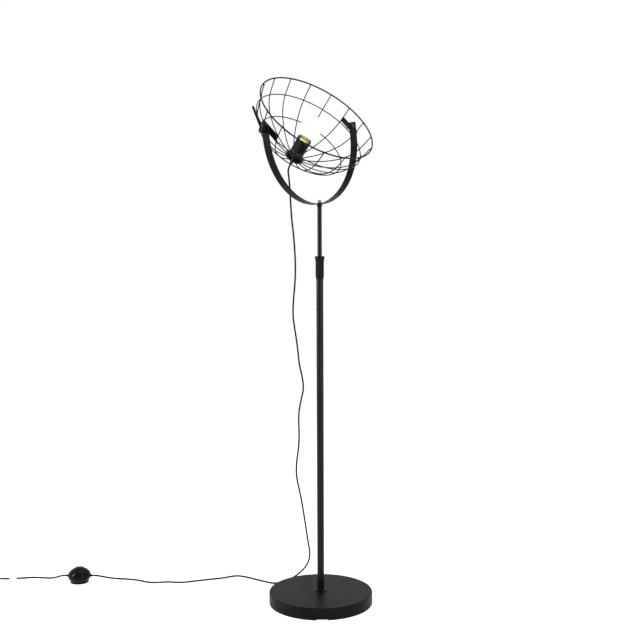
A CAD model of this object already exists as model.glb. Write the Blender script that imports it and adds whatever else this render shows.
import bpy
import math
import numpy as np
from mathutils import Matrix, Vector


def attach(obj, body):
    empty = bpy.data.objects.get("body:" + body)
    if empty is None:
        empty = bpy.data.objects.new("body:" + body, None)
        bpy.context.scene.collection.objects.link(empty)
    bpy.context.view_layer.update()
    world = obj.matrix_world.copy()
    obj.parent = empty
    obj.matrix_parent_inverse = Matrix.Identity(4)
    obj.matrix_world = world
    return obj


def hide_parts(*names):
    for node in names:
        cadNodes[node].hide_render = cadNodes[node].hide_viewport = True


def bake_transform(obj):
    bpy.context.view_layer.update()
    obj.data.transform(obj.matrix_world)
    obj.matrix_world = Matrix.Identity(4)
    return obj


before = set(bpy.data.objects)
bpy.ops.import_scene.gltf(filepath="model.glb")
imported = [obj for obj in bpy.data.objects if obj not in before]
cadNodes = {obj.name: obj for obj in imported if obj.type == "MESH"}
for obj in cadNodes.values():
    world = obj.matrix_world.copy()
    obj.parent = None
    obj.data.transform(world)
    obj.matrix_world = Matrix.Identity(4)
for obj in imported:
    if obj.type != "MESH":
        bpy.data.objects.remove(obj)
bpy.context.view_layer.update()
print("frame loaded,", len(cadNodes), "nodes")

# the camera stands in front of the lamp, 2.6 m off, a little above the pole's middle
view = {"position": (0.0003, -2.5768, 0.9246), "lookDown": 3.44, "roll": -0.19, "lens": 54.2}


def makeCamera():
    data = bpy.data.cameras.new("photoCamera")
    data.lens = view["lens"]
    data.sensor_width = 36
    data.clip_end = 200
    camera = bpy.data.objects.new("photoCamera", data)
    bpy.context.scene.collection.objects.link(camera)
    tilt = Matrix.Rotation(math.radians(90 - view["lookDown"]), 4, "X")
    turn = Matrix.Rotation(math.radians(view["roll"]), 4, "Z")
    camera.matrix_world = Matrix.Translation(view["position"]) @ tilt @ turn
    bpy.context.scene.camera = camera


makeCamera()
print("camera made")


# shapes as grids of points, worked out in millimetres

def softened(outline, radius, closed=True, steps=5):
    # each corner becomes a short parabola between a point on either side of it, with a support
    # point just outside each end of the parabola, so flat parts stay flat when shaded smooth
    p = np.asarray(outline, float)
    toBefore = np.roll(p, 1, 0) - p
    toAfter = np.roll(p, -1, 0) - p
    lengthBefore = np.linalg.norm(toBefore, axis=1, keepdims=True)
    lengthAfter = np.linalg.norm(toAfter, axis=1, keepdims=True)
    wanted = np.broadcast_to(radius, len(p)).astype(float)[:, None]
    reach = np.minimum(wanted, 0.38 * np.minimum(lengthBefore, lengthAfter))
    a = toBefore / lengthBefore * reach
    b = toAfter / lengthAfter * reach
    t = np.linspace(0, 1, steps)[None, :, None]
    arc = p[:, None] + (1 - t) ** 2 * a[:, None] + t ** 2 * b[:, None]
    points = np.concatenate([(p + 1.25 * a)[:, None], arc, (p + 1.25 * b)[:, None]], 1)
    if closed:
        return points.reshape(-1, 2)
    inner = points[1:-1].reshape(-1, 2)
    return np.concatenate([p[:1], inner, p[-1:]])


def turned(outline, columns=96, angles=None):
    # a point (radius, height) of the outline goes round the axis: x = r cos a, y = r sin a, z = h
    outline = np.asarray(outline, float)
    if angles is None:
        angles = np.linspace(0, 2 * np.pi, columns, endpoint=False)
    r, h = outline[:, :1], outline[:, 1:]
    return np.stack([r * np.cos(angles), r * np.sin(angles), h + 0 * angles], -1)


def carried(section, path, across, outward):
    # section point (s, t) at a station of the path lies at path + s * across + t * outward
    section = np.asarray(section, float)
    return (path[:, None] + section[None, :, :1] * across[:, None]
            + section[None, :, 1:] * outward[:, None])


def tubeGrid(path, radius, sides=12, reference=(0, 1, 0)):
    # a circle at every station, in the plane square to the path's heading; the reference
    # direction is never along the path, so that the circles don't twist
    heading = np.gradient(path, axis=0)
    heading /= np.linalg.norm(heading, axis=1, keepdims=True)
    side = np.cross(heading, np.asarray(reference, float))
    side /= np.linalg.norm(side, axis=1, keepdims=True)
    up = np.cross(side, heading)
    angles = np.linspace(0, 2 * np.pi, sides, endpoint=False)
    r = np.broadcast_to(radius, len(path)).astype(float)[:, None, None]
    return (path[:, None] + r * np.cos(angles)[None, :, None] * side[:, None]
            + r * np.sin(angles)[None, :, None] * up[:, None])


def ringGrid(radius, height, wire, around=192, sides=12):
    # a torus: the wire's circle carried round the axis at that radius and height
    a = np.linspace(0, 2 * np.pi, sides, endpoint=False)
    return turned(np.stack([radius + wire / 2 * np.cos(a), height + wire / 2 * np.sin(a)], 1), around)


def hexReach(angles, across):
    # distance from the middle to a hexagon's side, in each direction
    step = np.pi / 3
    return across / 2 / np.cos((angles + step / 2) % step - step / 2)


def shellMesh(name, grid, rowsWrap=False):
    # quads join neighbouring points of each grid, columns always wrap round, and an open end row
    # is closed by a fan about its middle; the faces are turned outwards by the volume's sign
    grid = np.asarray(grid, float)
    if grid.ndim == 3:
        grid = grid[None]
    shells, rows, columns = grid.shape[:3]
    rowStarts = np.arange(rows if rowsWrap else rows - 1)
    r, c = [x.ravel() for x in np.meshgrid(rowStarts, np.arange(columns), indexing="ij")]
    nextR, nextC = (r + 1) % rows, (c + 1) % columns
    quads = np.stack([r * columns + c, r * columns + nextC, nextR * columns + nextC,
                      nextR * columns + c], 1)
    along = np.linalg.norm(np.diff(grid[0], axis=0), axis=-1).mean(1).cumsum()
    along = np.concatenate([[0], along, along[-1:] + 1]) / 1000
    quadUv = np.stack([np.stack([c, c + 1, c + 1, c], 1) / columns,
                       np.stack([along[r], along[r], along[r + 1], along[r + 1]], 1)], -1)
    points = grid.reshape(shells, rows * columns, 3)
    fans = np.zeros((0, 3), int)
    if not rowsWrap:
        points = np.concatenate([points, grid[:, 0].mean(1)[:, None], grid[:, -1].mean(1)[:, None]], 1)
        k = np.arange(columns)
        first, last = rows * columns, rows * columns + 1
        fans = np.concatenate([np.stack([0 * k + first, (k + 1) % columns, k], 1),
                               np.stack([0 * k + last, (rows - 1) * columns + k,
                                         (rows - 1) * columns + (k + 1) % columns], 1)])
    corners = points[0]
    triangles = np.concatenate([quads[:, [0, 1, 2]], quads[:, [0, 2, 3]], fans])
    a, b, d = (corners[triangles[:, i]] for i in range(3))
    if (a * np.cross(b, d)).sum() < 0:
        quads, quadUv, fans = quads[:, ::-1], quadUv[:, ::-1], fans[:, ::-1]
    offset = np.arange(shells)[:, None, None] * points.shape[1]
    allQuads = (quads[None] + offset).reshape(-1, 4)
    allFans = (fans[None] + offset).reshape(-1, 3)
    mesh = bpy.data.meshes.new(name)
    mesh.from_pydata((points.reshape(-1, 3) / 1000).tolist(), [], allQuads.tolist() + allFans.tolist())
    uv = np.concatenate([np.tile(quadUv.reshape(-1, 2), (shells, 1)), np.zeros((len(allFans) * 3, 2))])
    mesh.uv_layers.new(name="UVMap").data.foreach_set("uv", uv.astype(np.float32).ravel())
    return mesh


def piece(name, grid, finish, body, standsFor=(), place=None, rowsWrap=False, sharp=None):
    mesh = shellMesh(name, grid, rowsWrap)
    if place is not None:
        mesh.transform(place)
    mesh.polygons.foreach_set("use_smooth", np.ones(len(mesh.polygons), bool))
    if sharp:
        mesh.set_sharp_from_angle(angle=math.radians(sharp))
    mesh.materials.append(finish)
    thing = bpy.data.objects.new(name, mesh)
    bpy.context.scene.collection.objects.link(thing)
    if body:
        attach(thing, body)
    if standsFor:
        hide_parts(*standsFor)
    return thing


def turnAbout(axis, degrees):
    return Matrix.Rotation(math.radians(degrees), 4, axis)


def shift(x, y, z):
    return Matrix.Translation((x / 1000, y / 1000, z / 1000))


# finishes

def newFinish(name):
    finish = bpy.data.materials.new(name)
    finish.use_nodes = True
    tree = finish.node_tree
    return finish, tree, tree.nodes["Principled BSDF"]


def noise(tree, scale, detail=4.0, roughness=0.55, source="Object", stretch=None):
    coordinates = tree.nodes.new("ShaderNodeTexCoord").outputs[source]
    if stretch:
        mapping = tree.nodes.new("ShaderNodeMapping")
        mapping.inputs["Scale"].default_value = stretch
        tree.links.new(coordinates, mapping.inputs["Vector"])
        coordinates = mapping.outputs["Vector"]
    texture = tree.nodes.new("ShaderNodeTexNoise")
    texture.inputs["Scale"].default_value = scale
    texture.inputs["Detail"].default_value = detail
    texture.inputs["Roughness"].default_value = roughness
    tree.links.new(coordinates, texture.inputs["Vector"])
    return texture.outputs["Fac"]


def ramp(tree, value, low, high, lowAt=0.35, highAt=0.65):
    node = tree.nodes.new("ShaderNodeValToRGB")
    node.color_ramp.elements[0].position = lowAt
    node.color_ramp.elements[1].position = highAt
    node.color_ramp.elements[0].color = (*low, 1) if len(low) == 3 else low
    node.color_ramp.elements[1].color = (*high, 1) if len(high) == 3 else high
    tree.links.new(value, node.inputs["Fac"])
    return node.outputs["Color"]


def grey(value):
    return (value, value, value)


def bump(tree, shader, height, distance, strength=1.0, before=None):
    node = tree.nodes.new("ShaderNodeBump")
    node.inputs["Distance"].default_value = distance
    node.inputs["Strength"].default_value = strength
    tree.links.new(height, node.inputs["Height"])
    if before:
        tree.links.new(before.outputs["Normal"], node.inputs["Normal"])
    tree.links.new(node.outputs["Normal"], shader.inputs["Normal"])
    return node


powderCoat = {"dark": (0.0026, 0.0025, 0.0023), "light": (0.0044, 0.0042, 0.0039), "specular": 0.075,
              "roughness": (0.30, 0.40), "grain": 1100.0, "grainDepth": 0.00003}


def makePowderCoat(name, look, gloss=1.0):
    # sprayed black: slow cloudy tone, fine orange peel that also varies the gloss
    finish, tree, shader = newFinish(name)
    tone = ramp(tree, noise(tree, 9.0, 5.0), look["dark"], look["light"])
    tree.links.new(tone, shader.inputs["Base Color"])
    peel = noise(tree, look["grain"], 2.0, 0.5)
    low, high = look["roughness"]
    patches = ramp(tree, noise(tree, 55.0, 3.0), grey(low * gloss), grey(high * gloss))
    tree.links.new(patches, shader.inputs["Roughness"])
    shader.inputs["Specular IOR Level"].default_value = look["specular"]
    bump(tree, shader, peel, look["grainDepth"])
    return finish


def makeMetal(name, dark, light, roughness, grainStretch=(1, 1, 1), grain=260.0, depth=0.00002):
    # bare metal: drawn lines along one direction, soft tarnish over them
    finish, tree, shader = newFinish(name)
    shader.inputs["Metallic"].default_value = 1.0
    tarnish = ramp(tree, noise(tree, 70.0, 5.0), dark, light)
    tree.links.new(tarnish, shader.inputs["Base Color"])
    lines = noise(tree, grain, 3.0, 0.6, stretch=grainStretch)
    rough = ramp(tree, lines, grey(roughness * 0.75), grey(roughness * 1.3))
    tree.links.new(rough, shader.inputs["Roughness"])
    bump(tree, shader, lines, depth)
    return finish


def makePlastic(name, dark, light, roughness, specular=0.5, grain=700.0, depth=0.000012, coat=0.0):
    finish, tree, shader = newFinish(name)
    tone = ramp(tree, noise(tree, 24.0, 4.0), dark, light)
    tree.links.new(tone, shader.inputs["Base Color"])
    wear = noise(tree, 90.0, 6.0, 0.65)
    rough = ramp(tree, wear, grey(roughness * 0.8), grey(roughness * 1.25), 0.3, 0.75)
    tree.links.new(rough, shader.inputs["Roughness"])
    shader.inputs["Specular IOR Level"].default_value = specular
    shader.inputs["Coat Weight"].default_value = coat
    shader.inputs["Coat Roughness"].default_value = 0.06
    bump(tree, shader, noise(tree, grain, 2.0), depth)
    return finish


def makeSheath(name):
    # the cord's jacket: fine lengthwise drag lines and dull handling marks, on its own UV map
    finish, tree, shader = newFinish(name)
    tone = ramp(tree, noise(tree, 30.0, 4.0), (0.0028, 0.0028, 0.0028), (0.0056, 0.0053, 0.0050))
    tree.links.new(tone, shader.inputs["Base Color"])
    drag = noise(tree, 9.0, 4.0, 0.6, "UV", (5.0, 14.0, 1.0))
    rough = ramp(tree, drag, grey(0.42), grey(0.62))
    tree.links.new(rough, shader.inputs["Roughness"])
    shader.inputs["Specular IOR Level"].default_value = 0.08
    bump(tree, shader, drag, 0.00003)
    return finish


def makeFelt(name):
    finish, tree, shader = newFinish(name)
    fibres = noise(tree, 900.0, 5.0, 0.8, stretch=(1, 1.7, 1))
    tone = ramp(tree, fibres, (0.012, 0.012, 0.013), (0.05, 0.05, 0.052))
    tree.links.new(tone, shader.inputs["Base Color"])
    shader.inputs["Roughness"].default_value = 0.95
    shader.inputs["Sheen Weight"].default_value = 0.35
    bump(tree, shader, fibres, 0.0004)
    return finish


glow = {"middle": (0.965, 0.955, 0.915), "edge": (0.91, 0.885, 0.83), "strength": 1.0,
        "clearUpTo": 0.012, "fullFrom": 0.030}         # metres along the glass from its cap


def makeGlow(name):
    # a lit bulb: clear glass by the cap, where the brass shows through, and from there on a glow
    # that is whitest where it is seen straight on and creamier at its edge
    finish, tree, shader = newFinish(name)
    facing = tree.nodes.new("ShaderNodeLayerWeight")
    facing.inputs["Blend"].default_value = 0.3
    tint = ramp(tree, facing.outputs["Facing"], glow["middle"], glow["edge"], 0.25, 0.95)
    tree.links.new(tint, shader.inputs["Emission Color"])
    shader.inputs["Emission Strength"].default_value = glow["strength"]
    coating = ramp(tree, noise(tree, 60.0, 3.0), (0.02, 0.02, 0.018), (0.035, 0.034, 0.03))
    tree.links.new(coating, shader.inputs["Base Color"])
    shader.inputs["Roughness"].default_value = 0.15
    shader.inputs["Specular IOR Level"].default_value = 0.2
    clear = tree.nodes.new("ShaderNodeBsdfTransparent")
    clear.inputs["Color"].default_value = (0.97, 0.965, 0.95, 1)
    height = tree.nodes.new("ShaderNodeSeparateXYZ")
    tree.links.new(tree.nodes.new("ShaderNodeTexCoord").outputs["UV"], height.inputs["Vector"])
    fill = tree.nodes.new("ShaderNodeMapRange")
    fill.interpolation_type = "SMOOTHSTEP"
    fill.inputs["From Min"].default_value = glow["clearUpTo"]
    fill.inputs["From Max"].default_value = glow["fullFrom"]
    fill.inputs["To Min"].default_value = 0.06
    tree.links.new(height.outputs["Y"], fill.inputs["Value"])
    blend = tree.nodes.new("ShaderNodeMixShader")
    tree.links.new(fill.outputs["Result"], blend.inputs["Fac"])
    tree.links.new(clear.outputs["BSDF"], blend.inputs[1])
    tree.links.new(shader.outputs["BSDF"], blend.inputs[2])
    tree.links.new(blend.outputs["Shader"], tree.nodes["Material Output"].inputs["Surface"])
    return finish


satinBlack = makePowderCoat("satinBlackCoat", powderCoat)
wireBlack = makePowderCoat("wireBlackCoat", dict(powderCoat, specular=0.07, roughness=(0.26, 0.36)))
strapBlack = makePowderCoat("strapBlackCoat", dict(powderCoat, specular=0.045))
tubeBlack = makePowderCoat("tubeBlackCoat", dict(powderCoat, specular=0.14, roughness=(0.22, 0.30)))
baseBlack = makePowderCoat("baseBlackCoat", dict(powderCoat, dark=(0.0028, 0.0027, 0.0025),
                                                 light=(0.0038, 0.0037, 0.0034), specular=0.070,
                                                 roughness=(0.44, 0.48), grain=800.0, grainDepth=0.00004))
drawnSteel = makeMetal("drawnSteel", (0.42, 0.42, 0.43), (0.62, 0.62, 0.62), 0.28, (1, 1, 0.12))
darkIron = makeMetal("darkIron", (0.10, 0.10, 0.105), (0.17, 0.165, 0.16), 0.55, depth=0.0001)
screwBrass = makeMetal("screwBrass", (0.88, 0.62, 0.09), (0.97, 0.75, 0.17), 0.3, (1, 1, 4))
capMetal = makeMetal("capMetal", (0.66, 0.66, 0.64), (0.82, 0.82, 0.80), 0.22, (1, 1, 4))
glossBlack = makePlastic("glossBlackPlastic", (0.0010, 0.0010, 0.0010), (0.0018, 0.0018, 0.0018), 0.10,
                         0.09)
holderBlack = makePlastic("holderBlackPlastic", (0.0040, 0.0031, 0.0028), (0.0066, 0.0052, 0.0047), 0.32, 0.07)
greyPlastic = makePlastic("greyPlastic", (0.27, 0.27, 0.27), (0.36, 0.36, 0.35), 0.45)
palePlastic = makePlastic("palePlastic", (0.74, 0.74, 0.72), (0.83, 0.83, 0.81), 0.42, 0.4)
ceramic = makePlastic("glazedCeramic", (0.72, 0.71, 0.67), (0.82, 0.81, 0.78), 0.2, 0.5)
nutNickel = makeMetal("nutNickel", (0.10, 0.10, 0.105), (0.16, 0.16, 0.16), 0.2)
seamGrey = makePlastic("seamGrey", (0.10, 0.095, 0.09), (0.17, 0.165, 0.16), 0.4, 0.3)
cordSheath = makeSheath("cordSheath")
padFelt = makeFelt("padFelt")
opalGlow = makeGlow("opalGlow")

print("finishes made")

# the cord, from the gland behind the cage to the plug

# straight lead out of the gland, the hang down behind the pole, then over the floor to the switch
hangPoints = (
    (-0.0772, 0.0512, 1.1915), (-0.0864, 0.0620, 1.1774), (-0.0825, 0.0620, 1.1520),
    (-0.0805, 0.0665, 1.1180), (-0.0785, 0.0720, 1.0800), (-0.0765, 0.0770, 1.0420),
    (-0.0715, 0.0820, 1.0000), (-0.0685, 0.0870, 0.9560), (-0.0670, 0.0910, 0.9120),
    (-0.0685, 0.0960, 0.8660), (-0.0735, 0.1010, 0.8200), (-0.0755, 0.1050, 0.7740),
    (-0.0690, 0.1090, 0.7300), (-0.0625, 0.1130, 0.6840), (-0.0590, 0.1170, 0.6400),
    (-0.0500, 0.1210, 0.6020), (-0.0460, 0.1250, 0.5680), (-0.0555, 0.1300, 0.5300),
    (-0.0620, 0.1350, 0.4900), (-0.0600, 0.1390, 0.4460), (-0.0610, 0.1430, 0.4000),
    (-0.0685, 0.1470, 0.3540), (-0.0690, 0.1510, 0.3100), (-0.0580, 0.1540, 0.2620),
    (-0.0500, 0.1570, 0.2140), (-0.0430, 0.1610, 0.1660), (-0.0370, 0.1660, 0.1200),
    (-0.0295, 0.1710, 0.0780), (-0.0395, 0.1760, 0.0450), (-0.0610, 0.1780, 0.0220),
    (-0.0830, 0.1730, 0.0080), (-0.1070, 0.1540, 0.0030), (-0.1350, 0.1440, 0.0024),
    (-0.1640, 0.1630, 0.0024), (-0.1920, 0.1830, 0.0024), (-0.2190, 0.2030, 0.0024),
    (-0.2490, 0.2170, 0.0024), (-0.2860, 0.1940, 0.0024), (-0.3280, 0.1810, 0.0024),
    (-0.3660, 0.1680, 0.0024), (-0.4040, 0.1540, 0.0024), (-0.4460, 0.1630, 0.0024),
    (-0.4900, 0.1520, 0.0024), (-0.5320, 0.1790, 0.0024), (-0.5720, 0.1890, 0.0024),
    (-0.6040, 0.1860, 0.0050), (-0.6300, 0.1780, 0.0120), (-0.6505, 0.1710, 0.0190),
    (-0.6645, 0.1710, 0.0190))
# from the switch's far side to the coil beyond the picture's edge
tailPoints = (
    (-0.7365, 0.1710, 0.0190), (-0.7505, 0.1710, 0.0190), (-0.7660, 0.1780, 0.0125),
    (-0.7860, 0.1890, 0.0055), (-0.8120, 0.2010, 0.0024), (-0.8420, 0.2065, 0.0024),
    (-0.8780, 0.1955, 0.0035), (-0.9220, 0.1900, 0.0035), (-0.9520, 0.1950, 0.0035),
    (-0.9840, 0.2010, 0.0036))
cord = {"diameter": 0.0048, "sides": 14,
        "splitHeights": (0.978, 0.797, 0.015)}        # where the hang passes from body to body
coil = {"centre": (-1.018, 0.1695), "outer": 0.0315, "pitch": 0.0054, "halfTurnsIn": 4,
        "low": 0.0036, "perHalfTurn": 8, "leadOut": 0.0144}


def coilPoints():
    # half turns that shrink by half a pitch each, one that climbs a pitch, and half turns that
    # grow again on top; then a quarter turn and a straight lead into the plug
    steps = np.arange(coil["halfTurnsIn"] + 1)
    radii = coil["outer"] - steps * coil["pitch"] / 2
    radii = [*radii, radii[-1] - coil["pitch"] / 2, *radii[:0:-1]]
    x, y = coil["centre"][0], coil["centre"][1] + coil["outer"]
    z, side = coil["low"], -1
    swell = 1 / (0.75 + 0.25 * math.cos(math.pi / coil["perHalfTurn"]))
    points = []
    for k, radius in enumerate(radii):
        climb = coil["pitch"] if k == coil["halfTurnsIn"] + 1 else 0
        middle = y + side * radius
        turn = np.pi * (np.arange(coil["perHalfTurn"]) + 0.5) / coil["perHalfTurn"]
        share = turn / np.pi
        lift = climb * share * share * (3 - 2 * share)
        points += list(zip(x + side * radius * swell * np.sin(turn),
                           middle - side * radius * swell * np.cos(turn), z + lift))
        y += side * 2 * radius
        z += climb
        side = -side
    quarter = np.pi / 2 * (np.arange(4) + 0.5) / 4
    radius = coil["outer"]
    points += list(zip(x + side * radius * swell * np.sin(quarter),
                       y + side * radius - side * radius * swell * np.cos(quarter), z + 0 * quarter))
    end = (x + side * radius, y + side * radius)
    points += [(end[0], end[1] + side * coil["leadOut"] * share, z) for share in (0.25, 0.6, 1.0)]
    return [tuple(float(v) for v in point) for point in points]


def smoothLine(name, points, resolution=10):
    # the points as control points of one smooth spline, read back as a line of points
    curve = bpy.data.curves.new(name, "CURVE")
    curve.dimensions = "3D"
    curve.resolution_u = resolution
    spline = curve.splines.new("NURBS")
    spline.points.add(len(points) - 1)
    spline.points.foreach_set("co", np.column_stack([points, np.ones(len(points))]).ravel())
    spline.order_u = 3
    spline.use_endpoint_u = True
    holder = bpy.data.objects.new(name, curve)
    bpy.context.scene.collection.objects.link(holder)
    bpy.context.view_layer.update()
    mesh = bpy.data.meshes.new_from_object(holder.evaluated_get(bpy.context.evaluated_depsgraph_get()))
    line = np.empty(len(mesh.vertices) * 3, np.float32)
    mesh.vertices.foreach_get("co", line)
    bpy.data.objects.remove(holder)
    bpy.data.curves.remove(curve)
    bpy.data.meshes.remove(mesh)
    return line.reshape(-1, 3).astype(float)


def lengthOf(line):
    return float(np.linalg.norm(np.diff(line, axis=0), axis=1).sum())


hangLine = smoothLine("hangRoute", hangPoints)
tailLine = smoothLine("tailRoute", [*tailPoints, *coilPoints()])


def stretch(name, first, last, node):
    # a part of the hanging line; the circles come from the whole line, so that stretches meet flush
    whole = tubeGrid(hangLine * 1000, cord["diameter"] * 500, cord["sides"], (0.3, 1, 0))
    part = piece(name, whole[first:last + 1], cordSheath, None)
    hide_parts(node)
    return part, hangLine[first:last + 1]


cuts = [int(np.argmax(hangLine[:, 2] < height)) for height in cord["splitHeights"]]
cuts = [0, *cuts, len(hangLine) - 1]
bodiesAlong = (("head", "yoke"), ("yoke", "mast"), ("mast", "stand"), None)
cordNames = (("cordAtCage", "cord_head"), ("cordAtBracket", "cord_swivel"), ("cordAtPole", "cord_drop"),
             ("cordOnFloor", "cord_floor"))
for (name, node), first, last, pair in zip(cordNames, cuts, cuts[1:], bodiesAlong):
    thing, line = stretch(name, first, last, node)
    if pair:
        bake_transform(thing)
    else:
        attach(thing, "stand")
mainsLead = piece("mainsLead", tubeGrid(tailLine * 1000, cord["diameter"] * 500, cord["sides"], (0, 0, 1)),
                  cordSheath, "stand", ("cord_tail", "cord_coil"))
print("cords made,", round(lengthOf(hangLine), 3), "and", round(lengthOf(tailLine), 3), "m")

# the marker sleeve, tie and plug on the lead

marker = {"from": (-0.878, 0.1955, 0.0035), "to": (-0.922, 0.190, 0.0035), "length": 20.0,
          "outer": 3.35, "bore": 2.65}


def alongWay(start, end):
    # local Z runs from start to end, and the origin is their middle
    way = np.subtract(end, start)
    way = way / np.linalg.norm(way)
    side = np.cross((0, 0, 1), way)
    side /= np.linalg.norm(side)
    up = np.cross(way, side)
    matrix = np.eye(4)
    matrix[:3, 0], matrix[:3, 1], matrix[:3, 2] = side, up, way
    matrix[:3, 3] = np.add(start, end) / 2
    return Matrix(matrix.tolist())


half = marker["length"] / 2
sleeveOutline = softened([(marker["outer"], -half), (marker["outer"], half), (marker["bore"], half),
                          (marker["bore"], -half)], 0.3)
markerSleeve = piece("markerSleeve", turned(sleeveOutline, 32), palePlastic, "stand", ("cord_marker",),
                     alongWay(marker["from"], marker["to"]), True)

tie = {"angle": 135.0, "inside": (12.7, 34.7), "height": 12.6, "thickness": 0.8, "width": 3.0}


def tieGrid():
    # a flat strip carried once round the bundle of turns: a rounded rectangle in the upright plane
    low, high = tie["inside"]
    top = tie["height"] - tie["thickness"] / 2
    corners = [(low, tie["thickness"] / 2), (high, tie["thickness"] / 2), (high, top), (low, top)]
    loop = softened(corners, 2.6, steps=7)
    path = np.stack([loop[:, 0], 0 * loop[:, 0], loop[:, 1]], 1)
    heading = np.roll(path, -1, 0) - np.roll(path, 1, 0)
    heading /= np.linalg.norm(heading, axis=1, keepdims=True)
    across = np.tile([0.0, 1.0, 0.0], (len(path), 1))
    outward = np.cross(heading, across)
    w, t = tie["width"] / 2, tie["thickness"] / 2
    return carried(softened([(-w, -t), (w, -t), (w, t), (-w, t)], 0.25, steps=3), path, across, outward)


tiePlace = shift(coil["centre"][0] * 1000, coil["centre"][1] * 1000, 0) @ turnAbout("Z", tie["angle"])
coilTie = piece("coilTie", tieGrid(), greyPlastic, "stand", ("coil_tie",), tiePlace, True)

plug = {"centreX": -1049.5, "height": 9.0, "front": 93.7, "tailFrom": 149.7,
        "halfWidth": 17.4, "halfThickness": 7.4, "ribs": 5, "ribDepth": 0.45}


def plugGrid():
    # rounded-square sections whose two half sizes swell from the cord to the face; the section is
    # |x/a|^n + |z/b|^n = 1, round (n = 2) at the tail and squarer (n = 4) at the face
    share = np.concatenate([np.linspace(0, 0.38, 22), np.linspace(0.40, 0.97, 30), [0.985, 0.996, 1.0]])
    y = plug["tailFrom"] + (plug["front"] - plug["tailFrom"]) * share
    swell = np.clip((share - 0.36) / 0.34, 0, 1)
    swell = swell * swell * (3 - 2 * swell)
    edge = np.sqrt(np.clip(1 - np.clip((share - 0.955) / 0.05, 0, 1) ** 2, 0, 1)) * 0.12 + 0.88
    tail = 3.1 + 2.3 * np.clip(share / 0.38, 0, 1)
    ribs = plug["ribDepth"] * np.cos(2 * np.pi * share / 0.07) * (share < 0.35) * (share > 0.02)
    a = (tail * (1 - swell) + plug["halfWidth"] * swell + ribs) * edge
    b = (tail * (1 - swell) + plug["halfThickness"] * swell + ribs) * edge
    power = 2 + 2 * swell
    angles = np.linspace(0, 2 * np.pi, 56, endpoint=False)
    c, s = np.cos(angles)[None], np.sin(angles)[None]
    n = power[:, None]
    reach = (np.abs(c / a[:, None]) ** n + np.abs(s / b[:, None]) ** n) ** (-1 / n)
    x = plug["centreX"] + reach * c
    return np.stack([x, y[:, None] + 0 * c, plug["height"] + reach * s], -1)


plugShell = piece("plugShell", plugGrid(), holderBlack, "stand", ("plug_body",))
pins = {"spacing": 19.0, "radius": 1.95, "length": 19.0, "sleeve": 10.0, "sleeveRadius": 1.99}


def pinGrids(outline):
    # both pins: an outline (radius, distance from the face) turned about -Y, one each side
    local = turned(outline, 24)
    grid = np.stack([local[..., 0], plug["front"] - local[..., 2], local[..., 1]], -1)
    offsets = np.array([[-0.5, 0, 0], [0.5, 0, 0]]) * pins["spacing"]
    return grid[None] + (offsets + [plug["centreX"], 0, plug["height"]])[:, None, None]


tip = pins["length"] - pins["radius"]
bow = np.linspace(0, np.pi / 2 * 0.9, 7)
pinOutline = [(pins["radius"], -2.0), *zip(pins["radius"] * np.cos(bow), tip + pins["radius"] * np.sin(bow))]
plugPins = piece("plugPins", pinGrids(pinOutline), capMetal, "stand", ("plug_pins",))
sleeveEnds = softened([(pins["sleeveRadius"] - 0.3, -1.5), (pins["sleeveRadius"], -1.0),
                       (pins["sleeveRadius"], pins["sleeve"]), (pins["radius"] - 0.2, pins["sleeve"] + 0.3)],
                      0.1, closed=False)
pinSleeves = piece("pinSleeves", pinGrids(sleeveEnds), holderBlack, "stand")
print("lead, tie and plug made")

# base and pole

base = {"radius": 140.0, "height": 32.0, "wall": 1.5, "floorGap": 0.6, "edge": 3.0, "hole": 5.3,
        "notchMiddle": 3.5, "notchHalf": 15.0, "notchHeight": 4.6}


def baseGrid():
    # the cover's outline turned round; the notch lifts the skirt's lower rim at the front, where
    # x lies within the notch, with two columns close together at each of its walls
    top = base["height"]
    under = top - base["wall"]
    inner = base["radius"] - base["wall"]
    outline = softened([(base["radius"], base["floorGap"]), (base["radius"], top), (base["hole"], top),
                        (base["hole"], under), (inner, under), (inner, base["floorGap"])],
                       (0.4, base["edge"], 0.3, 0.3, 1.5, 0.4), steps=9)
    walls = [base["notchMiddle"] + side * base["notchHalf"] + near for side in (-1, 1)
             for near in (-0.4, 0.4)]
    angles = np.linspace(0, 2 * np.pi, 224, endpoint=False)
    atWalls = 1.5 * np.pi + np.arcsin(np.array(walls) / base["radius"])
    angles = np.sort(np.concatenate([angles, atWalls]))
    grid = turned(outline, angles=angles)
    x = base["radius"] * np.cos(angles)
    inside = (np.abs(x - base["notchMiddle"]) < base["notchHalf"]) & (np.sin(angles) < 0)
    lift = np.where(inside, base["notchHeight"], 0.0)[None] * (outline[:, :1] > 100)
    grid[..., 2] = np.maximum(grid[..., 2], lift)
    return grid


piece("baseShell", baseGrid(), baseBlack, "stand", ("base_cover",), rowsWrap=True, sharp=50)


def ring(inner, outer, low, high, edge=0.4):
    # a ring's four corners as a closed outline, each eased
    return softened([(outer, low), (outer, high), (inner, high), (inner, low)], edge)


pole = {"foot": 34.5, "lowerTop": 924.5, "lower": 9.5, "lowerBore": 8.3, "upper": 6.0, "upperBore": 5.0,
        "upperFoot": 559.5, "upperTop": 1069.2, "flange": 15.5}
piece("footFlange", turned(ring(5.3, pole["flange"], 32.0, pole["foot"], 0.9), 96), satinBlack, "stand",
      ("pole_flange",), rowsWrap=True)
piece("lowerPole", turned(ring(pole["lowerBore"], pole["lower"], pole["foot"], pole["lowerTop"]), 64),
      tubeBlack, "stand", ("lower_tube",), rowsWrap=True)
piece("upperPole", turned(ring(pole["upperBore"], pole["upper"], pole["upperFoot"], pole["upperTop"]), 48),
      tubeBlack, "mast", ("upper_tube",), rowsWrap=True)

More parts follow.
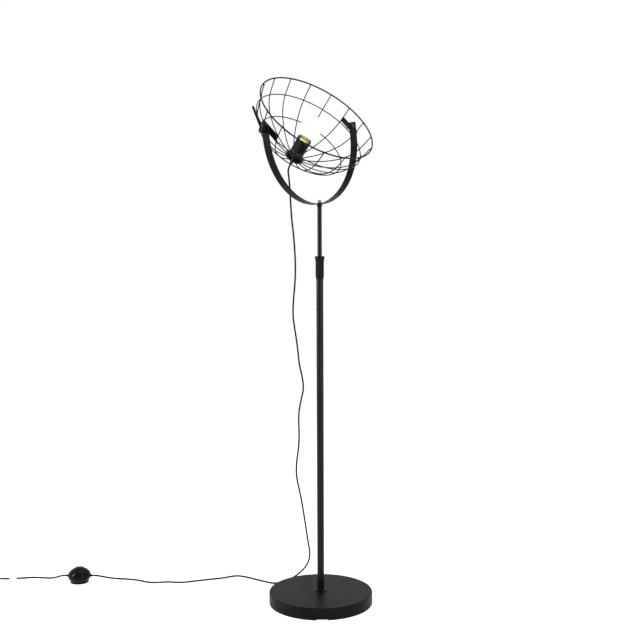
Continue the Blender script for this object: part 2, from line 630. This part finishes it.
collar = {"top": 940.5, "length": 61.0, "radius": 11.3, "flare": 12.8, "flareHeight": 6.0,
          "flareTaper": 8.0, "footTaper": 9.0, "footRadius": 10.4, "bore": 9.65, "boreLength": 47.3,
          "mouth": 6.5, "mouthFrom": 56.3, "flutes": 24, "fluteDepth": 0.4}


def collarGrid():
    # the collar's outline turned round; on its straight part the radius dips once in each flute
    top, foot = collar["top"], collar["top"] - collar["length"]
    flareLow = top - collar["flareHeight"]
    straightTop, straightFoot = flareLow - collar["flareTaper"], foot + collar["footTaper"]
    outside = [(collar["footRadius"], foot), (collar["radius"], straightFoot), (collar["radius"], straightTop),
               (collar["flare"], flareLow), (collar["flare"], top)]
    outline = softened([*outside, (collar["mouth"], top), (collar["mouth"], foot + collar["mouthFrom"]),
                        (collar["bore"], foot + collar["boreLength"]), (collar["bore"], foot)],
                       (0.4, 3.0, 3.0, 1.6, 0.9, 0.4, 0.2, 0.2, 0.4), steps=6)
    runs = np.concatenate([np.linspace(a, b, 9)[:-1] for a, b in zip(outline, np.roll(outline, -1, 0))])
    grid = turned(runs, 384)
    angles = np.linspace(0, 2 * np.pi, 384, endpoint=False)
    h, r = grid[..., 2], np.hypot(grid[..., 0], grid[..., 1])
    window = np.clip((h - straightFoot - 1) / 3, 0, 1) * np.clip((straightTop + 1 - h) / 3, 0, 1)
    dip = np.clip(np.cos(collar["flutes"] * angles), 0, 1)[None] ** 1.5 * collar["fluteDepth"]
    share = 1 - window * dip * (r > collar["footRadius"] - 0.1) / r
    grid[..., :2] *= share[..., None]
    return grid


piece("twistCollar", collarGrid(), satinBlack, "collar", ("twist_collar",), rowsWrap=True)
print("base and pole made")

# bracket

bracket = {"bolt": 1078.6, "turn": 47.6, "sideLean": -7.2, "backLean": -1.9, "halfWidth": 169.8,
           "depth": 178.9, "pivot": 199.7, "armEnd": 12.0, "thickness": 2.5, "breadth": 23.0}
bracketPlace = (shift(0, 0, bracket["bolt"]) @ turnAbout("Z", bracket["turn"])
                @ turnAbout("Y", bracket["sideLean"]) @ turnAbout("X", bracket["backLean"]))
pivotPlace = bracketPlace @ shift(0, 0, bracket["pivot"])
cagePlace = pivotPlace @ turnAbout("X", 46.6)


def strapGrid():
    # the middle line goes down one arm, round a half ellipse and up the other arm; a rounded flat
    # section is carried along it, and narrows in the last 2 mm so that the arms' corners are round
    top = bracket["pivot"] + bracket["armEnd"]
    easing = 2.0 * (1 - np.cos(np.linspace(0, np.pi / 2, 7)))
    arm = np.concatenate([top - easing, np.linspace(top - 4, bracket["depth"] + 2, 6)])
    sweep = np.linspace(np.pi, 2 * np.pi, 121)
    curveX, curveZ = bracket["halfWidth"] * np.cos(sweep), bracket["depth"] * (1 + np.sin(sweep))
    x = np.concatenate([0 * arm - bracket["halfWidth"], curveX, 0 * arm + bracket["halfWidth"]])
    z = np.concatenate([arm, curveZ, arm[::-1]])
    path = np.stack([x, 0 * x, z], 1)
    heading = np.gradient(path, axis=0)
    heading /= np.linalg.norm(heading, axis=1, keepdims=True)
    across = np.tile([0.0, 1.0, 0.0], (len(path), 1))
    outward = np.cross(heading, across)
    past = np.clip((z - (top - 2.0)) / 2.0, 0, 1)
    across = across * (1 - 2.0 / (bracket["breadth"] / 2) * (1 - np.sqrt(1 - past ** 2)))[:, None]
    b, t = bracket["breadth"] / 2, bracket["thickness"] / 2
    return carried(softened([(-b, -t), (b, -t), (b, t), (-b, t)], 0.5), path, across, outward)


piece("strapBracket", strapGrid(), strapBlack, "yoke", ("yoke_strap",), bracketPlace, sharp=50)

capNut = {"across": 10.0, "low": 1081.85, "hexHeight": 4.2, "domeHeight": 3.8, "domeRadius": 4.6}


def capNutGrid():
    # six flats with their corners cut by a cone, then a dome: radius as a function of direction and height
    h = np.concatenate([[0, 0.25, 0.5], np.linspace(0.8, capNut["hexHeight"] - 0.5, 5),
                        [capNut["hexHeight"] - 0.2, capNut["hexHeight"]]])
    angles = np.linspace(0, 2 * np.pi, 96, endpoint=False)
    flats = hexReach(angles, capNut["across"])[None] + 0 * h[:, None]
    cone = 5.25 + 1.4 * np.minimum(h, capNut["hexHeight"] - h)[:, None]
    hexPart = np.minimum(flats, cone)
    bow = np.linspace(0, 0.97, 16) * np.pi / 2
    domePart = (capNut["domeRadius"] * np.cos(bow))[:, None] + 0 * angles
    r = np.concatenate([hexPart, domePart])
    z = np.concatenate([h, capNut["hexHeight"] + capNut["domeHeight"] * np.sin(bow)])
    return np.stack([r * np.cos(angles), r * np.sin(angles), (z + capNut["low"])[:, None] + 0 * r], -1)


piece("domeNut", capNutGrid(), nutNickel, "mast", ("cap_nut",), sharp=38)
print("bracket made")

# cage

cage = {"rim": 164.0, "rimHeight": 37.0, "rimWire": 3.9, "wire": 2.8, "ribs": 16, "startLean": 8.4,
        "arcs": ((436.0, 5.0), (105.0, 37.6), (213.0, 27.7)), "ringHeights": (-8.5, -55.5),
        "hub": 26.0, "hubGap": 0.3, "weldGap": 0.05}


def ribProfile():
    # three tangent arcs from the rim to the hub, in (radius, height); on an arc of radius R, as the
    # slope a grows, radius falls by R times the change of cos a and height by R times that of sin a
    slopes = math.radians(cage["startLean"]) + np.radians(np.cumsum([0] + [turn for _, turn in cage["arcs"]]))
    radii = [radius for radius, _ in cage["arcs"]]
    start = (cage["rim"] - cage["rimWire"] / 2 - cage["wire"] / 2 - cage["weldGap"], cage["rimHeight"] + 1)
    fine = [np.linspace(a, b, n)[k > 0:] for k, (a, b, n) in enumerate(zip(slopes, slopes[1:], (8, 22, 22)))]
    slope = np.concatenate(fine)
    bend = np.concatenate([np.full(len(s), r) for s, r in zip(fine, radii)])
    falls = np.concatenate([[0], np.cumsum(-bend[1:] * np.diff(np.cos(slope)))])
    drops = np.concatenate([[0], np.cumsum(bend[1:] * np.diff(np.sin(slope)))])
    scale = (start[0] - cage["hub"] - cage["hubGap"]) / falls[-1]
    return start[0] - scale * falls, start[1] - scale * drops, slope


ribRadius, ribHeight, ribSlope = ribProfile()
ribAngles = 2 * np.pi * (np.arange(cage["ribs"]) + 0.5) / cage["ribs"]


def atEachRib(grid):
    # the grid turned about the cage's axis by each rib's angle a: x cos a - y sin a, x sin a + y cos a
    c, s = np.cos(ribAngles)[:, None, None], np.sin(ribAngles)[:, None, None]
    x, y, z = grid[..., 0], grid[..., 1], grid[..., 2]
    return np.stack([x * c - y * s, x * s + y * c, z + 0 * c], -1)


def ribGrids():
    # the profile as a tube in one upright plane, turned to each rib's direction
    path = np.stack([ribRadius, 0 * ribRadius, ribHeight], 1)
    return atEachRib(tubeGrid(path, cage["wire"] / 2, 10))


def ringAt(height):
    # a ring lies outside the ribs, square to their slope at that height
    slope = np.interp(-height, -ribHeight, ribSlope)
    radius = np.interp(-height, -ribHeight, ribRadius)
    out = cage["wire"] + cage["weldGap"]
    return radius + out * math.cos(slope), height - out * math.sin(slope)


def weldGrids():
    # a small flattened bead where each rib meets the rim, each ring and the hub
    spots = []
    for height in cage["ringHeights"]:
        ringRadius, ringHeight = ringAt(height)
        radius = np.interp(-height, -ribHeight, ribRadius)
        spots.append(((ringRadius + radius) / 2, (ringHeight + height) / 2, 1.75))
    spots.append((cage["rim"] - cage["rimWire"] / 2 - 0.2, cage["rimHeight"] - 0.1, 2.1))
    spots.append((cage["hub"] + 0.2, ribHeight[-1], 1.9))
    bow = np.linspace(0.12, np.pi - 0.12, 7)
    local = turned(np.stack([np.sin(bow), -np.cos(bow)], 1), 10)
    grids = []
    for radius, height, size in spots:
        grids.append(atEachRib(local * size * np.array([1.0, 1.15, 1.0]) + [radius, 0, height]))
    return np.concatenate(grids)


piece("cageRibs", ribGrids(), wireBlack, "head", ("cage_ribs",), cagePlace)
piece("cageRim", ringGrid(cage["rim"], cage["rimHeight"], cage["rimWire"]), wireBlack, "head",
      ("cage_rim",), cagePlace, True)
for ringName, node, height in zip(("cageRingUpper", "cageRingLower"), ("cage_ring_upper", "cage_ring_lower"),
                                  cage["ringHeights"]):
    piece(ringName, ringGrid(*ringAt(height), cage["wire"]), wireBlack, "head", (node,), cagePlace, True)
piece("weldBeads", weldGrids(), wireBlack, "head", place=cagePlace)
hubLow, hubTop = ribHeight[-1] - 3.0, ribHeight[-1] + 3.0
piece("cageHub", turned(ring(5.1, cage["hub"], hubLow, hubTop, 1.0), 96), satinBlack, "head", ("cage_hub",),
      cagePlace, True)
print("cage made")

# pivots and lever

pivots = {"plateInner": 153.56, "plateThickness": 2.5, "plateHalf": 32.0, "plateHalfHeight": 7.0,
          "plateRise": 1.0, "arm": 171.06, "inside": 168.56, "spacer": 5.0,
          "washer": 8.0, "bore": 3.06, "shank": 3.0, "headAcross": 10.0, "headHeight": 4.0, "nutHeight": 6.0}


def boxGrid(half, edge):
    # a rounded flat bar: an eased rectangle in Y and Z, shrunk by the easing at its two faces in X
    hx, hy, hz = half
    outline = softened([(-hy, -hz), (hy, -hz), (hy, hz), (-hy, hz)], edge * 2.2, steps=6)
    rows = np.array([-hx, -hx, -hx + edge * 0.3, -hx + edge, hx - edge, hx - edge * 0.3, hx, hx])
    inset = np.array([edge * 1.1, edge, edge * 0.3, 0, 0, edge * 0.3, edge, edge * 1.1])
    size = 1 - inset[:, None, None] / np.array([hy, hz])
    flat = outline[None] * size
    return np.stack([rows[:, None] + 0 * flat[..., 0], flat[..., 0], flat[..., 1]], -1)


plate = boxGrid((pivots["plateThickness"] / 2, pivots["plateHalf"], pivots["plateHalfHeight"]), 0.4)
plateMiddle = pivots["plateInner"] + pivots["plateThickness"] / 2
plates = np.stack([plate + [side * plateMiddle, 0, pivots["plateRise"]] for side in (-1, 1)])
piece("pivotBars", plates, strapBlack, "head", ("pivot_plates",), cagePlace, sharp=50)


def alongX(outline, columns=48):
    # an outline (radius, distance) turned about the X axis
    local = turned(outline, columns)
    return np.stack([local[..., 2], local[..., 0], local[..., 1]], -1)


def bothSides(grid):
    # the same grid at +X and, turned half round Z, at -X
    return np.stack([grid, grid * [-1, -1, 1]])


def hexAlongX(across, low, high):
    # a hexagonal prism along X with its corners cut by a cone at both ends
    h = np.array([0, 0.3, 0.7, high - low - 0.7, high - low - 0.3, high - low])
    angles = np.linspace(0, 2 * np.pi, 72, endpoint=False)
    flats = hexReach(angles, across)[None] + 0 * h[:, None]
    cone = across / 2 + 0.25 + 1.2 * np.minimum(h, high - low - h)[:, None]
    r = np.minimum(flats, cone)
    return np.stack([(low + h)[:, None] + 0 * r, r * np.cos(angles), r * np.sin(angles)], -1)


washerLow = pivots["inside"] - 0.1 - 1.0
plateOuter = pivots["plateInner"] + pivots["plateThickness"]


def discs(name, outer, low, high, edge, finish, body, node, place):
    # a ring with the bolt's bore at both pivots, between two distances along their axis
    outline = ring(pivots["bore"], outer, low, high, edge)
    piece(name, bothSides(alongX(outline)), finish, body, (node,), place, True)


discs("pivotSpacers", pivots["spacer"], plateOuter, washerLow - 0.1, 0.3, satinBlack, "head", "pivot_spacers",
      cagePlace)
discs("frictionDiscs", pivots["washer"], washerLow, washerLow + 1.0, 0.2, greyPlastic, "yoke",
      "friction_washers", pivotPlace)
outerLow = pivots["arm"] + 0.1
discs("outerDiscs", pivots["washer"], outerLow, outerLow + 1.0, 0.25, satinBlack, "yoke", "outer_washers",
      pivotPlace)
nutLow = outerLow + 1.1
headGrid = hexAlongX(pivots["headAcross"], pivots["plateInner"] - pivots["headHeight"], pivots["plateInner"])
piece("boltHeads", bothSides(headGrid), satinBlack, "head", ("pivot_bolts",), cagePlace, sharp=35)
shank = softened([(pivots["shank"], pivots["plateInner"] - 1), (pivots["shank"], nutLow + 7.5),
                  (pivots["shank"] - 0.6, nutLow + 8.0)], 0.2, closed=False)
piece("boltShanks", bothSides(alongX(shank, 32)), drawnSteel, "head", place=cagePlace, sharp=50)
piece("lockNut", hexAlongX(pivots["headAcross"], nutLow, nutLow + pivots["nutHeight"]), satinBlack, "head",
      ("lock_nut",), cagePlace,
      sharp=35)

lever = {"hubRadius": 7.5, "hubLength": 15.0, "station": 9.0, "radius": 3.0, "reach": 66.0, "lean": 20.0}
hubOutline = softened([(lever["hubRadius"] - 0.2, nutLow), (lever["hubRadius"], nutLow + 0.6),
                       (lever["hubRadius"], nutLow + lever["hubLength"] - 0.2),
                       (2.0, nutLow + lever["hubLength"])], (0.2, 0.2, 1.6, 0.2), closed=False, steps=7)
piece("clampKnuckle", alongX(hubOutline, 64) * [-1, 1, 1], satinBlack, "clamp", ("clamp_hub",), pivotPlace)


def leverGrid():
    # a round rod with an eased tip, turned about Z and then leant back from the arm
    bow = np.linspace(0, np.pi / 2 * 0.94, 7)
    end = lever["reach"] - 1.2
    outline = [(lever["radius"], 5.0),
               *zip(lever["radius"] - 1.2 + 1.2 * np.cos(bow), end + 1.2 * np.sin(bow)),
               (0.4, lever["reach"])]
    return turned(softened(outline, 0.05, closed=False), 40)


leverPlace = pivotPlace @ shift(-(nutLow + lever["station"]), 0, 0) @ turnAbout("X", -lever["lean"])
piece("leverRod", leverGrid(), satinBlack, "clamp", ("lever_rod",), leverPlace)
print("pivots and lever made")

# lamp holder and bulb, in the cage's frame

holder = {"radius": 19.5, "wall": 2.4, "capLength": 19.0, "sleeveLength": 40.0, "teeth": 12,
          "toothHeight": 4.0}
capTop = hubTop + holder["capLength"]
mouth = capTop + holder["sleeveLength"]
holderInner = holder["radius"] - holder["wall"]
holderOutline = softened([(5.2, hubTop), (holder["radius"], hubTop), (holder["radius"], capTop - 0.8),
                          (holder["radius"] - 0.5, capTop - 0.1), (holderInner, capTop - 0.1),
                          (holderInner, hubTop + holder["wall"]), (5.2, hubTop + holder["wall"])],
                         (0.3, 1.4, 0.3, 0.1, 0.2, 0.3, 0.3))
piece("holderCap", turned(holderOutline, 96), holderBlack, "head", ("holder_cap",), cagePlace, True)


seamOutline = ring(18.8, holder["radius"] - 0.05, capTop - 0.75, capTop + 0.08, 0.2)
piece("holderSeam", turned(seamOutline, 96), seamGrey, "head", place=cagePlace, rowsWrap=True)


def sleeveGrid():
    # the sleeve's wall turned round; between the teeth the mouth's rim drops by the tooth height,
    # with two columns close together at each tooth's side
    outline = softened([(holder["radius"], capTop + 0.1), (holder["radius"], mouth), (holderInner, mouth),
                        (holderInner, capTop + 0.1)], (0.5, 0.5, 0.4, 0.3), steps=5)
    extra = [np.array([[outline[k - 1][0], mouth - holder["toothHeight"] - 1.5]]) for k in (8, 15)]
    outline = np.concatenate([outline[:7], extra[0], outline[7:14], outline[14:]])
    sides = np.arange(2 * holder["teeth"]) * np.pi / holder["teeth"] + np.pi / 2 / holder["teeth"]
    angles = np.sort(np.concatenate([np.linspace(0, 2 * np.pi, 120, endpoint=False) + 0.003,
                                     sides - 0.018, sides + 0.018]))
    grid = turned(outline, angles=angles)
    phase = (angles / (2 * np.pi) * holder["teeth"] + 0.25) % 1
    rim = np.where(phase < 0.5, mouth - holder["toothHeight"], mouth)
    grid[..., 2] = np.minimum(grid[..., 2], rim[None])
    return grid


piece("holderSleeve", sleeveGrid(), holderBlack, "head", ("holder_sleeve",), cagePlace, True, sharp=45)

thread = {"pitch": 3.6, "shellOuter": 14.2, "shellInner": 13.85, "shellDepth": 0.3, "capRadius": 12.75,
          "capDepth": 0.4}
shellTop = mouth - holder["toothHeight"] - 1.0
shellLow = shellTop - 26.0


def threaded(outline, depth, columns=96, smooth=1.2):
    # the outline turned round, its radius rising and falling once a pitch along a helix
    grid = turned(outline, columns)
    angles = np.arctan2(grid[..., 1], grid[..., 0])
    h = grid[..., 2]
    fade = np.clip((h - h.min()) / smooth, 0, 1) * np.clip((h.max() - h) / smooth, 0, 1)
    wave = depth * fade * np.sin(2 * np.pi * h / thread["pitch"] - angles)
    r = np.hypot(grid[..., 0], grid[..., 1])
    grid[..., :2] *= (1 + wave / r)[..., None]
    return grid


heights = np.linspace(shellLow, shellTop, 90)
shellOutline = np.concatenate([np.stack([0 * heights + thread["shellOuter"], heights], 1),
                               [[thread["shellOuter"] + 0.15, shellTop + 0.15]],
                               np.stack([0 * heights + thread["shellInner"], heights[::-1]], 1)])
piece("screwShell", threaded(shellOutline, thread["shellDepth"]), screwBrass, "head", ("screw_shell",),
      cagePlace, True)
contactTop = shellLow + 1.5
bulb = {"capLow": contactTop + 0.1, "capLength": 25.0, "radius": 29.0, "neck": 15.0, "length": 75.0}
capHigh = bulb["capLow"] + bulb["capLength"]
heights = np.linspace(bulb["capLow"] + 5.5, capHigh - 1.0, 70)
capOutline = np.concatenate([[[4.6, bulb["capLow"]], [5.4, bulb["capLow"] + 0.8]],
                             np.stack([0 * heights + thread["capRadius"], heights], 1),
                             [[12.9, capHigh - 0.4], [12.9, capHigh]]])
piece("bulbCap", threaded(capOutline, thread["capDepth"]), screwBrass, "head", ("bulb_cap",), cagePlace)


def bulbOutline():
    # a straight neck, a shoulder arc and a round crown, meeting tangentially 35 degrees below its middle
    join = math.radians(-35)
    middle = capHigh + bulb["length"] - bulb["radius"]
    meet = np.array([bulb["radius"] * math.cos(join), middle + bulb["radius"] * math.sin(join)])
    low = np.array([bulb["neck"], capHigh])
    heading = np.array([-math.sin(join), math.cos(join)])
    across = np.array([heading[1], -heading[0]])
    chord = meet - low
    bend = chord @ chord / (2 * abs(chord @ across))
    centre = meet + across * bend
    a0 = math.atan2(*(low - centre)[::-1]) % (2 * math.pi)
    a1 = math.atan2(*(meet - centre)[::-1]) % (2 * math.pi)
    sweep = np.linspace(a0, a1, 18)[:-1]
    shoulder = centre + bend * np.stack([np.cos(sweep), np.sin(sweep)], 1)
    crownSweep = np.linspace(join, math.pi / 2 - 0.02, 40)
    crown = np.array([0, middle]) + bulb["radius"] * np.stack([np.cos(crownSweep), np.sin(crownSweep)], 1)
    return np.concatenate([[[bulb["neck"] - 0.6, capHigh - 0.01]], shoulder, crown])


piece("bulbGlass", turned(bulbOutline(), 96), opalGlow, "head", ("bulb_glass",), cagePlace)

gland = {"radius": 6.4, "end": 3.9, "length": 19.0, "grip": 0.53, "ribs": 4}


def glandGrid():
    # a grip nut and then a ribbed taper that closes on the cord
    s = np.linspace(0, 1, 70)
    closing = np.clip((s - gland["grip"]) / 0.45, 0, 1)
    taper = gland["radius"] - 0.8 + (gland["end"] - gland["radius"] + 0.8) * closing
    ribs = 0.25 * np.cos(2 * np.pi * gland["ribs"] * (s - 0.57) / 0.38) * (s > 0.57) * (s < 0.95)
    r = np.where(s < gland["grip"], gland["radius"], taper + ribs)
    r[0], r[-1] = r[0] - 0.5, r[-1] - 0.3
    return turned(np.stack([r, hubLow - gland["length"] * s], 1), 48)


piece("cordGland", glandGrid(), holderBlack, "head", ("cord_gland",), cagePlace, sharp=50)
print("holder and bulb made")

# foot switch

switch = {"x": -700.5, "y": 171.0, "radius": 32.5, "middle": 20.0, "halfHeight": 23.0, "wall": 2.0,
          "low": 7.3, "cordHeight": 19.0, "boss": 4.5, "bossEnd": 36.0}
switchFoot = {"outer": 26.0, "inner": 23.9, "height": 7.0, "floor": 3.0, "chamfer": 1.1}
button = {"radius": 13.0, "gap": 0.4, "rise": 1.5, "low": 26.0, "brim": 15.5, "brimHeight": 1.5, "pocket": 6.0,
          "pocketTop": 32.0, "ease": 0.9, "rings": (8.6, 6.4), "ringDepth": 0.22}
switchPlace = shift(switch["x"], switch["y"], 0)


def pebbleLine(inset, low, endRadius, steps):
    # the ellipse (r / a)^2 + ((z - middle) / b)^2 = 1 from a low height up to a radius near the top
    a, b = switch["radius"] - inset, switch["halfHeight"] - inset
    bow = np.linspace(math.asin((low - switch["middle"]) / b), math.acos(endRadius / a), steps)
    return np.stack([a * np.cos(bow), switch["middle"] + b * np.sin(bow)], 1)


def switchShellGrid():
    # the pebble's outside up to a fine eased edge round the button, and the same ellipse inside
    hole = button["radius"] + button["gap"]
    outer = pebbleLine(0, switch["low"] + 0.5, hole + 0.6, 56)
    inner = pebbleLine(switch["wall"], switch["low"] + 0.4, hole + 0.5, 40)[::-1]
    rim = outer[-1, 1]
    lip = [(hole + 0.35, rim - 0.02), (hole + 0.1, rim - 0.15), (hole, rim - 0.5), (hole, inner[0, 1] + 0.3)]
    foot = [(inner[-1, 0] + 0.1, switch["low"] + 0.1), (inner[-1, 0] + 0.5, switch["low"]),
            (outer[0, 0] - 0.8, switch["low"]), (outer[0, 0] - 0.3, switch["low"] + 0.12)]
    return turned(np.concatenate([outer, lip, inner, foot]), 128)


piece("switchShell", switchShellGrid(), glossBlack, "stand", ("switch_cover",), switchPlace, True, sharp=60)
boss, bossEnd = switch["boss"], switch["bossEnd"]
bossOutline = softened([(boss, bossEnd - 5.2), (boss - 0.1, bossEnd - 3.0), (boss - 0.7, bossEnd - 0.4),
                        (boss - 1.8, bossEnd)], 0.7, closed=False)
bossGrid = bothSides(alongX(bossOutline, 40)) + [0, 0, switch["cordHeight"]]
piece("switchBosses", bossGrid, glossBlack, "stand", place=switchPlace)
footOuter, footInner, chamfer = switchFoot["outer"], switchFoot["inner"], switchFoot["chamfer"]
footTop, footFloor = switchFoot["height"], switchFoot["floor"]
footOutline = softened([(8.0, footFloor), (footInner, footFloor), (footInner, footTop), (footOuter, footTop),
                        (footOuter, chamfer), (footOuter - chamfer, 0.0), (8.0, 0.0)],
                       (0.3, 0.3, 0.3, 0.4, 0.5, 0.5, 0.3), closed=False)
piece("switchFoot", turned(footOutline, 96), holderBlack, "stand", ("switch_base",), switchPlace)


def buttonGrid():
    # the spring's pocket, the skirt's brim and side, an eased edge, and the pebble's own ellipse as
    # its crown, z = middle + rise + b sqrt(1 - (r / a)^2), with two fine rings pressed in
    bow = np.linspace(0, np.pi / 2, 8)
    side, brim, pocket = button["radius"], button["brim"], button["pocket"]
    low, top = button["low"], button["pocketTop"]
    brimTop = low + button["brimHeight"]
    across = np.linspace(side - button["ease"] - 0.2, 0.3, 44)
    arch = np.sqrt(1 - (across / switch["radius"]) ** 2)
    crown = switch["middle"] + button["rise"] + switch["halfHeight"] * arch
    for ringRadius in button["rings"]:
        crown = crown - button["ringDepth"] * (np.abs(across - ringRadius) < 0.5)
    skirt = [(0.4, top), (pocket - 0.2, top), (pocket, top - 0.2), (pocket, low + 0.3), (pocket + 0.3, low),
             (brim - 0.3, low), (brim, low + 0.3), (brim, brimTop - 0.3), (brim - 0.3, brimTop),
             (side + 0.2, brimTop), (side, brimTop + 0.3)]
    edge = np.stack([side - button["ease"] * (1 - np.cos(bow)), crown[0] - 1.1 + 1.05 * np.sin(bow)], 1)
    return turned(np.concatenate([skirt, edge, np.stack([across, crown], 1)]), 96)


piece("switchButton", buttonGrid(), glossBlack, "button", ("switch_button",), switchPlace, sharp=60)

spring = {"radius": 4.7, "wire": 1.2, "turns": 6.5, "low": 12.2, "top": 31.8, "flatShare": 0.08}


def springGrid():
    # a helix of round wire, x = r cos a and y = r sin a, whose height rises evenly with a between
    # the flat first and last coils
    share = np.linspace(0, 1, 320)
    angle = 2 * np.pi * spring["turns"] * share
    level = np.clip((share - spring["flatShare"]) / (1 - 2 * spring["flatShare"]), 0, 1)
    z = spring["low"] + spring["wire"] / 2 + (spring["top"] - spring["low"] - spring["wire"]) * level
    path = np.stack([spring["radius"] * np.cos(angle), spring["radius"] * np.sin(angle), z], 1)
    return tubeGrid(path, spring["wire"] / 2, 8, (0, 0, 1))


returnSpring = piece("returnSpring", springGrid(), drawnSteel, None, place=switchPlace)
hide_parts("switch_spring")
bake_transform(returnSpring)
print("foot switch made")

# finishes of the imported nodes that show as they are
nodeFinishes = {
    "base_felt": padFelt, "base_weight": darkIron, "base_spacer": darkIron, "base_washer": drawnSteel,
    "base_bolt": drawnSteel, "foot_plug": darkIron, "collet_bush": greyPlastic, "slide_guide": greyPlastic,
    "guide_pin": drawnSteel, "mast_top_plug": satinBlack, "yoke_stud": drawnSteel, "saddle_lower": satinBlack,
    "saddle_upper": satinBlack, "nipple": drawnSteel, "nipple_nut": drawnSteel, "contact_core": ceramic,
    "centre_contact": screwBrass, "switch_screws": drawnSteel, "contact_block": palePlastic}
for node, finish in nodeFinishes.items():
    cadNodes[node].data.materials.clear()
    cadNodes[node].data.materials.append(finish)
left = [node for node, thing in cadNodes.items() if node not in nodeFinishes and not thing.hide_render]
print("packed nodes with no finish of their own:", left)

# floor, world and lamps
stageLook = {"floorColour": (0.86, 0.86, 0.86), "floorLift": 0.55, "worldLight": 0.55}


def onlySeen(tree):
    # 1 for rays from the camera, a mirror or through glass, 0 for light on surfaces
    path = tree.nodes.new("ShaderNodeLightPath")
    first = tree.nodes.new("ShaderNodeMath")
    first.operation = "MAXIMUM"
    tree.links.new(path.outputs["Is Camera Ray"], first.inputs[0])
    tree.links.new(path.outputs["Is Glossy Ray"], first.inputs[1])
    second = tree.nodes.new("ShaderNodeMath")
    second.operation = "MAXIMUM"
    tree.links.new(first.outputs[0], second.inputs[0])
    tree.links.new(path.outputs["Is Transmission Ray"], second.inputs[1])
    return second.outputs[0]


def makeFloor():
    mesh = bpy.data.meshes.new("floor")
    mesh.from_pydata([(-30, -30, 0), (30, -30, 0), (30, 30, 0), (-30, 30, 0)], [], [(0, 1, 2, 3)])
    floor = bpy.data.objects.new("floor", mesh)
    bpy.context.scene.collection.objects.link(floor)
    finish, tree, shader = newFinish("paleFloor")
    shader.inputs["Base Color"].default_value = (*stageLook["floorColour"], 1)
    shader.inputs["Roughness"].default_value = 0.9
    shader.inputs["Specular IOR Level"].default_value = 0.1
    shader.inputs["Emission Color"].default_value = (1, 1, 1, 1)
    lift = tree.nodes.new("ShaderNodeMath")
    lift.operation = "MULTIPLY"
    tree.links.new(onlySeen(tree), lift.inputs[0])
    lift.inputs[1].default_value = stageLook["floorLift"]
    tree.links.new(lift.outputs[0], shader.inputs["Emission Strength"])
    mesh.materials.append(finish)


def makeWorld():
    world = bpy.data.worlds.new("paleWorld")
    bpy.context.scene.world = world
    world.use_nodes = True
    tree = world.node_tree
    background = tree.nodes["Background"]
    background.inputs["Color"].default_value = (1, 1, 1, 1)
    strength = tree.nodes.new("ShaderNodeMapRange")
    strength.inputs["To Min"].default_value = stageLook["worldLight"]
    strength.inputs["To Max"].default_value = 1.0
    tree.links.new(onlySeen(tree), strength.inputs["Value"])
    tree.links.new(strength.outputs["Result"], background.inputs["Strength"])


softboxes = (          # name, place, aim, width, height, power
    ("leftStrip", (-2.5, -0.80, 1.5), (0, 0, 0.95), 0.45, 2.2, 70.0),
    ("rightStrip", (1.75, -2.0, 1.3), (0, 0, 0.9), 0.4, 2.4, 36.0),
    ("topSoftbox", (0.2, 0.3, 3.4), (0, 0, 0.6), 1.8, 1.8, 18.0))


def makeLamps():
    for name, place, aim, width, height, power in softboxes:
        data = bpy.data.lights.new(name, "AREA")
        data.shape = "RECTANGLE"
        data.size, data.size_y = width, height
        data.energy = power
        lamp = bpy.data.objects.new(name, data)
        bpy.context.scene.collection.objects.link(lamp)
        way = Vector(aim) - Vector(place)
        lamp.matrix_world = Matrix.Translation(place) @ way.to_track_quat("-Z", "Y").to_matrix().to_4x4()


makeFloor()
makeWorld()
makeLamps()
bpy.context.scene.view_settings.view_transform = "Standard"
print("stage and lamps made")
